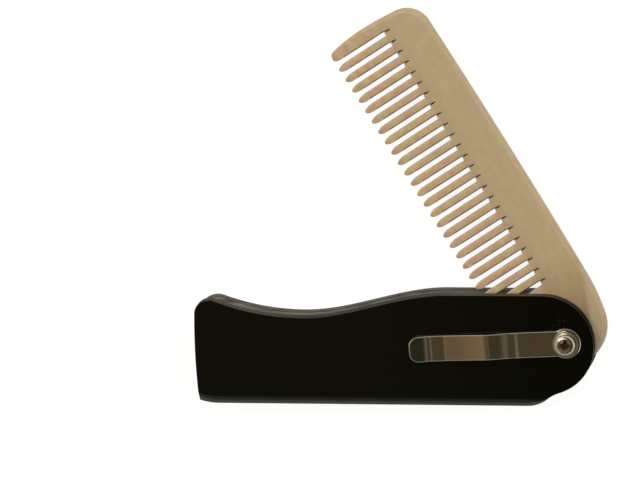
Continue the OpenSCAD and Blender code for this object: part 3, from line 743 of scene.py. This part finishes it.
def gapPoints(s, front):
    # one gap from the tooth on its right round to the next, as (x, y, kind); front is 0 at the rear face;
    # kind is 1 on the side that gets painted shade, 2 in the saw's run-out and 0 elsewhere
    half, toothHalf = s["gap"] / 2, (s["pitch"] - s["gap"]) / 2
    length = s["front"] + s["root"]
    tips = [(s["pitch"] / 2 - toothHalf * math.cos(math.radians(a)),
             length - s["tipLen"] * (1 - math.sin(math.radians(a))))
            for a in (*range(86, 40, -5), *range(40, -1, -8))]
    low, high = s["rootTaper"], length - s["tipLen"]
    wall = [(half, high + (low - high) * i / 12) for i in range(1, 13)]
    right, floor = s["rootW"] / 2, -s["slant"] * front
    left, end = right - s["saw"], floor - s["runout"] * front - s["leastRunout"]
    first, second, third = (floor - d for d in s["apart"])
    points = [(x, y, 0) for x, y in tips] + [(x, y, 1) for x, y in wall] + [(right, floor, 1)]
    points += [(right, min(first, end + s["saw"] / 2), 2), (right - s["saw"] / 2, end, 2),
               (left, min(second, end + s["saw"] / 2), 2), (left, third, 2), (-right, floor, 0)]
    return points + [(-x, y, 0) for x, y in reversed(tips + wall)]


def combOutline(s, front):
    # the comb's outline, its bevel's width and tilt at each point, and 1 on the gaps' sides with painted
    # shade
    heelC = (s["heelR"] - s["heelReach"], s["heelR"] + s["heelLift"] - s["back"])
    blendUp = s["blendR"] - s["heelR"] - s["heelLift"]
    blendC = (heelC[0] + math.sqrt((s["blendR"] - s["heelR"]) ** 2 - blendUp ** 2), heelC[1] + blendUp)
    blendA = heading(blendC, heelC)
    tangC = (s["tangR"] - s["heelReach"], heelC[1])
    tipY = s["tipCornerR"] - s["back"]
    tipC = (math.sqrt((s["reach"] - s["tipCornerR"]) ** 2 - tipY ** 2), tipY)
    endA = math.degrees(math.asin(s["sideStart"] / s["reach"]))
    sideC = ((s["reach"] - s["sideR"]) * math.cos(math.radians(endA)),
             (s["reach"] - s["sideR"]) * math.sin(math.radians(endA)))
    lastY = s["front"] - s["endCornerR"]
    lastC = (sideC[0] + math.sqrt((s["sideR"] - s["endCornerR"]) ** 2 - (lastY - sideC[1]) ** 2), lastY)
    guardC = (s["guard"] + s["toothCornerR"], s["front"] - s["toothCornerR"])
    rootC = (s["guard"] - s["guardFillet"], tangC[1] + s["tangR"] + s["guardFillet"])
    toTip = heading((0, 0), tipC)
    back = arc(heelC, s["heelR"], 180, blendA, 50)
    back += arc(blendC, s["blendR"], blendA, 270, 16)[1:]
    back += [(blendC[0] + (tipC[0] - blendC[0]) * t, -s["back"] - s["crown"] * 4 * t * (1 - t))
             for t in (i / 60 for i in range(1, 60))]
    back += arc(tipC, s["tipCornerR"], 270, toTip, 36)
    end = arc((0, 0), s["reach"], toTip - 360, endA, 30)[1:]
    turned = heading(sideC, lastC)
    endFace = arc(sideC, s["sideR"], endA, turned, 14)[1:-1]
    endFace += arc(lastC, s["endCornerR"], turned, 90, 12)
    gaps, kinds = [], []
    count = int((s["reach"] - s["endTooth"] - s["gap"] / 2 - s["firstGap"]) / s["pitch"]) + 1
    points = gapPoints(s, front)
    lean = math.radians(s["lean"])
    for i in reversed(range(count)):
        for x, y, kind in points:
            gaps.append((s["firstGap"] + i * s["pitch"] + x - y * math.sin(lean),
                         y * math.cos(lean) - s["root"]))
            kinds.append(kind)
    guard = arc(guardC, s["toothCornerR"], 90, 180, 12)
    low = rootC[1]
    guard += [(s["guard"], guardC[1] + (low - guardC[1]) * t) for t in (0.25, 0.5, 0.75)]
    guard += arc(rootC, s["guardFillet"], 0, -90, 10)
    guard += [(rootC[0] + (tangC[0] - rootC[0]) * t, tangC[1] + s["tangR"]) for t in (0.33, 0.67)]
    tang = arc(tangC, s["tangR"], 90, 180, 40)[:-1]
    outline = back + end + endFace + gaps + guard + tang
    # how far each point is from the back's bevel, 0, to the teeth's, 1
    weight = [0.0] * len(back) + [ease((i + 1) / len(end)) for i in range(len(end))]
    weight += [1.0] * (len(endFace) + len(gaps) + len(guard))
    weight = np.array(weight + [ease(1 - (i + 1) / len(tang)) for i in range(len(tang))])
    bevel = s["backBevel"] + (s["toothBevel"] - s["backBevel"]) * weight
    first = len(back) + len(end) + len(endFace)
    bevel[first:first + len(gaps)] = [s["gapBevel"][kind] for kind in kinds]
    shadedSide = np.zeros(len(outline), int)
    shadedSide[first:first + len(gaps)] = np.array(kinds) == 1
    return outline, bevel, s["backTilt"] + (s["softTilt"] - s["backTilt"]) * weight, shadedSide


def halfThick(s, v):
    # half the comb's thickness at height v: full at the back, thinner towards the rounded tips
    slope = (s["thick"] - s["tip"]) / 2 / (s["front"] - s["wedgeStart"])
    t = s["thick"] / 2 - slope * np.maximum(0, v - s["wedgeStart"])
    near = np.clip((v - s["front"]) / s["roundLen"] + 1, 0, 1)
    return t - s["roundDepth"] * near ** 2


def makeComb(s):
    parts = MeshParts()
    rings = []
    shares = [k / s["bevelSteps"] for k in range(s["bevelSteps"] + 1)]
    for side, share in [(-1, k) for k in reversed(shares)] + [(1, k) for k in shares]:
        # the saw leaves the gaps longer the nearer to the front face
        _, toGo = bevelArc(share, 90, s["softTilt"])
        path, bevel, tilt, shadedSide = combOutline(s, 0.5 + side * (0.5 - s["gapBevel"][2] / s["thick"] * toGo))
        drawnIn, toGo = bevelArc(share, 90, tilt)
        flat = np.array(path) - outward(path) * (bevel * drawnIn)[:, None]
        z = side * (halfThick(s, flat[:, 1]) - bevel * toGo)
        rings.append(np.column_stack([flat, z]))
    parts.loft(rings, shadedSide)
    hole = circle(s["bore"] / 2)
    for edge, side in ((rings[0], -1), (rings[-1], 1)):
        parts.fill(edge[:, :2], [hole], lambda x, y, k=side: k * float(halfThick(s, np.float64(y))), side > 0)
    wall = halfThick(s, np.array(hole)[:, 1])
    parts.loft([np.column_stack([hole, side * wall]) for side in (-1, 1)])
    comb = parts.make("paleHornComb", [hornTan, hornGapShade])
    turn = Matrix.Rotation(math.radians(180 - s["opened"]), 4, "Z")
    comb.data.transform(Matrix.Translation((0, 0, s["level"] * mm)) @ turn)
    return comb


comb = makeComb(combSize)
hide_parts("comb")
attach(comb, "comb")
print("comb made")


# Pocket clip: strip steel, its edges rounded, following the spring's rise and lip
clipSize = {
    "reach": 43.0, "width": 7.1, "thick": 0.7, "cornerR": 2.6, "eye": 8.3, "bore": 3.3,
    "angle": 2.8, "level": 10.0,            # degrees from the case's length, and mm up
    "riseStart": 12.4, "riseKnee": 0.6, "crest": 21.6, "gap": 1.2,
    "foot": 33.4, "relax": 0.16,            # a bent strip is a little straighter nearer its foot
    "touch": 36.6, "touchGap": 0.02, "lip": 1.1, "lipKnee": 0.4,
    "soft": 0.5,                            # mm over which the bends are rounded
    "edge": ((0.0, 0.23), (0.13, 0.087), (0.28, 0.0)),  # two facets, as mm drawn in and mm still to rise
    "steps": 110,                           # along the strap
    "clear": 0.9, "lipStep": 0.3, "lipClear": 0.4,  # mm of the points inside its faces, from its edge
}


def bend(t, knee):
    # rises from 0 to 1: curved up to the knee, then straight
    t = min(1.0, max(0.0, t))
    return (t * t / (2 * knee) if t < knee else t - knee / 2) / (1 - knee / 2)


def clipLine(s, d):
    # height of the strap's underside over the case, at d mm from the pivot
    up = bend((d - s["riseStart"]) / (s["crest"] - s["riseStart"]), s["riseKnee"])
    down = min(1.0, max(0.0, (d - s["crest"]) / (s["foot"] - s["crest"])))
    down += s["relax"] * down * (1 - down)
    lip = bend((d - s["touch"]) / (s["reach"] - s["touch"]), s["lipKnee"])
    return s["gap"] * up - (s["gap"] - s["touchGap"]) * down + s["lip"] * lip


def clipRise(s, d):
    # the same with the bends rounded, by averaging over a short length
    return sum(clipLine(s, d + s["soft"] * k / 4) for k in range(-4, 5)) / 9


def makeClip(s):
    half, r, eye, steps = s["width"] / 2, s["cornerR"], s["eye"] / 2, s["steps"]
    joinA = math.degrees(math.asin(half / eye))
    left = -s["reach"] + r
    joinX = -eye * math.cos(math.radians(joinA))
    path = arc((left, r - half), r, 180, 270, 14)
    path += [(left + (joinX - left) * i / steps, -half) for i in range(1, steps)]
    path += arc((0, 0), eye, 180 + joinA, 540 - joinA, 72)
    path += [(joinX + (left - joinX) * i / steps, half) for i in range(1, steps)]
    path += arc((left, half - r), r, 90, 180, 14)
    rings = []
    for side in (-1, 1):
        for drawnIn, toGo in s["edge"][::side]:
            flat = np.array(path) - outward(path) * drawnIn
            z = np.array([clipRise(s, -x) for x in flat[:, 0]])
            z += s["thick"] / 2 + side * (s["thick"] / 2 - toGo)
            rings.append(np.column_stack([flat, z]))
    parts = MeshParts()
    parts.loft(rings)
    # points inside the strap's faces, so that they follow its bends
    edge = half - s["clear"]
    inside = [(left + (joinX - left) * i / steps, y) for i in range(2, steps - 1)
              for y in np.linspace(-edge, edge, 5)]
    for d in np.arange(s["lipStep"], r, s["lipStep"]):
        edge = half - r + math.sqrt(r * r - (r - d) ** 2) - s["lipClear"]
        inside += [(left - r + d, y) for y in np.linspace(-edge, edge, 7)]
    hole = circle(s["bore"] / 2)
    parts.fill(rings[0][:, :2], [hole], lambda x, y: clipRise(s, -x), False, inside)
    parts.fill(rings[-1][:, :2], [hole], lambda x, y: clipRise(s, -x) + s["thick"], True, inside)
    parts.loft([hoop(s["bore"], z) for z in (0, s["thick"])])
    clip = parts.make("steelPocketClip", [steel], sharp=15)
    turn = Matrix.Rotation(math.radians(s["angle"]), 4, "Z")
    clip.data.transform(Matrix.Translation((0, 0, s["level"] * mm)) @ turn)
    return clip


clip = makeClip(clipSize)
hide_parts("pocket_clip")
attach(clip, "case")
print("clip made")


# Materials on the small CAD parts that stay
def dress(node, material, sharp=30):
    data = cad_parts[node].data
    data.materials.clear()
    data.materials.append(material)
    data.shade_smooth()
    data.set_sharp_from_angle(angle=math.radians(sharp))


dress("spine_spacer", hornBlack)
for node in ("pivot_barrel", "rear_pivot_washer", "front_pivot_washer"):
    dress(node, brass)
for node in ("head_washer", "pivot_screw"):
    dress(node, nickel)
print("CAD parts dressed")


# Floor, world and lamps
studio = {
    "floorColour": "#6e6c68",
    "floorRoughness": 0.9,
    "floorLift": 0.92,          # glow that only camera and mirror rays see, so that the floor looks white
    "floorSize": 6.0,           # m
    "floorLevel": -0.0002,      # m, just under the case
    "white": 1.0,               # the world as the camera sees it
    "sweepTop": (0.08, 0.12),   # height where the white sweep ends in mirrors, 0 at the horizon, 1 overhead
    "lowRoom": "#b4b6a2",       # the room's walls, up to
    "wallTop": (0.14, 0.56),    # this height
    # the room overhead, from left at 0 to right at 1: tan wall, brown ceiling, then dark grey, with
    # paler bands that the clip's bends pick up
    "overhead": [(0.0, "#bfb09a"), (0.24, "#ad9673"), (0.305, "#a48b69"), (0.337, "#72604a"),
                 (0.360, "#8a7458"), (0.375, "#8a7458"), (0.395, "#574937"), (0.449, "#574b37"),
                 (0.455, "#a4967c"), (0.461, "#a4967c"), (0.470, "#524a38"), (0.530, "#524a38"),
                 (0.545, "#746654"), (0.580, "#746654"), (0.592, "#4d4536"), (0.604, "#4d4536"),
                 (0.615, "#2e3022"), (1.0, "#3c403c")],
    "aim": (-0.04, 0.03, 0.0),  # m, what the lamps point at
    # each lamp's place and size in m, power in W, colour, and whether mirrors show it
    "lamps": {
        "keyLamp": ((0.48, 0.42, 0.58), (1.2, 0.9), 6.4, "#fffaf2", False),
        "topLamp": ((-0.35, 0.30, 0.85), (0.4, 0.4), 2.2, "#fff8ee", True),
        "leftLamp": ((-0.65, 0.60, 0.50), (1.1, 0.3), 1.6, "#fff6ea", True),
    },
}


def backgroundRays(tree):
    # 1 for camera rays, 1 for mirror and glass rays, and 1 for either
    path = addNode(tree, "ShaderNodeLightPath", out=None)
    straight = path.outputs["Is Camera Ray"]
    mirrored = addNode(tree, "ShaderNodeMath", {"operation": "MAXIMUM"},
                       {0: path.outputs["Is Glossy Ray"], 1: path.outputs["Is Transmission Ray"]})
    either = addNode(tree, "ShaderNodeMath", {"operation": "MAXIMUM"}, {0: straight, 1: mirrored})
    return straight, mirrored, either


def makeFloor(s):
    # White paper: matt, keeps the part's soft shadow, and its glow makes it as white as the world
    mat, tree, shader = newMaterial("whitePaper")
    shader.inputs["Base Color"].default_value = toLinear(s["floorColour"])
    shader.inputs["Roughness"].default_value = s["floorRoughness"]
    _, _, seen = backgroundRays(tree)
    lift = addNode(tree, "ShaderNodeMath", {"operation": "MULTIPLY", 1: s["floorLift"]}, {0: seen})
    glow = addNode(tree, "ShaderNodeEmission", links={"Strength": lift})
    both = addNode(tree, "ShaderNodeAddShader", links={0: shader.outputs[0], 1: glow})
    tree.links.new(both, tree.nodes["Material Output"].inputs[0])
    data = bpy.data.meshes.new("floor")
    h, z = s["floorSize"] / 2, s["floorLevel"]
    data.from_pydata([(-h, -h, z), (h, -h, z), (h, h, z), (-h, h, z)], [], [(0, 1, 2, 3)])
    data.materials.append(mat)
    floor = bpy.data.objects.new("floor", data)
    bpy.context.scene.collection.objects.link(floor)


def makeWorld(s):
    world = bpy.data.worlds.new("room")
    bpy.context.scene.world = world
    world.use_nodes = True
    tree = world.node_tree
    way = addNode(tree, "ShaderNodeTexCoord", out=0)
    split = addNode(tree, "ShaderNodeSeparateXYZ", links={0: way}, out=None)
    across = addNode(tree, "ShaderNodeMapRange", {"From Min": -1.0, "From Max": 1.0},
                     {"Value": split.outputs[0]})
    above = addNode(tree, "ShaderNodeValToRGB",
                    {"stops": [(place, toLinear(colour)) for place, colour in s["overhead"]]}, {0: across})
    low, high = s["wallTop"]
    height = addNode(tree, "ShaderNodeValToRGB",
                     {"blend": "EASE", "stops": [(low, grey(0)), (high, grey(1))]},
                     {0: split.outputs[2]})
    room = addNode(tree, "ShaderNodeMix", {"data_type": "RGBA", mixA: toLinear(s["lowRoom"])},
                   {mixAmount: height, mixB: above}, mixOut)
    # mirrors show the white sweep only as high as it stands, and the room above it
    straight, mirrored, _ = backgroundRays(tree)
    low, high = s["sweepTop"]
    sweep = addNode(tree, "ShaderNodeValToRGB", {"stops": [(low, grey(1)), (high, grey(0))]},
                    {0: split.outputs[2]})
    reflected = addNode(tree, "ShaderNodeMath", {"operation": "MULTIPLY"}, {0: mirrored, 1: sweep})
    white = addNode(tree, "ShaderNodeMath", {"operation": "MAXIMUM"}, {0: straight, 1: reflected})
    seen = addNode(tree, "ShaderNodeMix", {"data_type": "RGBA", mixB: grey(s["white"])},
                   {mixAmount: white, mixA: room}, mixOut)
    tree.links.new(seen, tree.nodes["Background"].inputs[0])


def addLamp(name, aim, place, size, power, colour, mirrored):
    data = bpy.data.lights.new(name, "AREA")
    data.shape = "RECTANGLE"
    data.size, data.size_y = size
    data.energy = power
    data.color = toLinear(colour)[:3]
    lamp = bpy.data.objects.new(name, data)
    lamp.location = place
    lamp.rotation_mode = "QUATERNION"
    lamp.rotation_quaternion = (Vector(aim) - Vector(place)).to_track_quat("-Z", "Y")
    lamp.visible_camera = False
    lamp.visible_glossy = mirrored
    bpy.context.scene.collection.objects.link(lamp)


makeFloor(studio)
makeWorld(studio)
for name, lamp in studio["lamps"].items():
    addLamp(name, studio["aim"], *lamp)
print("studio made")
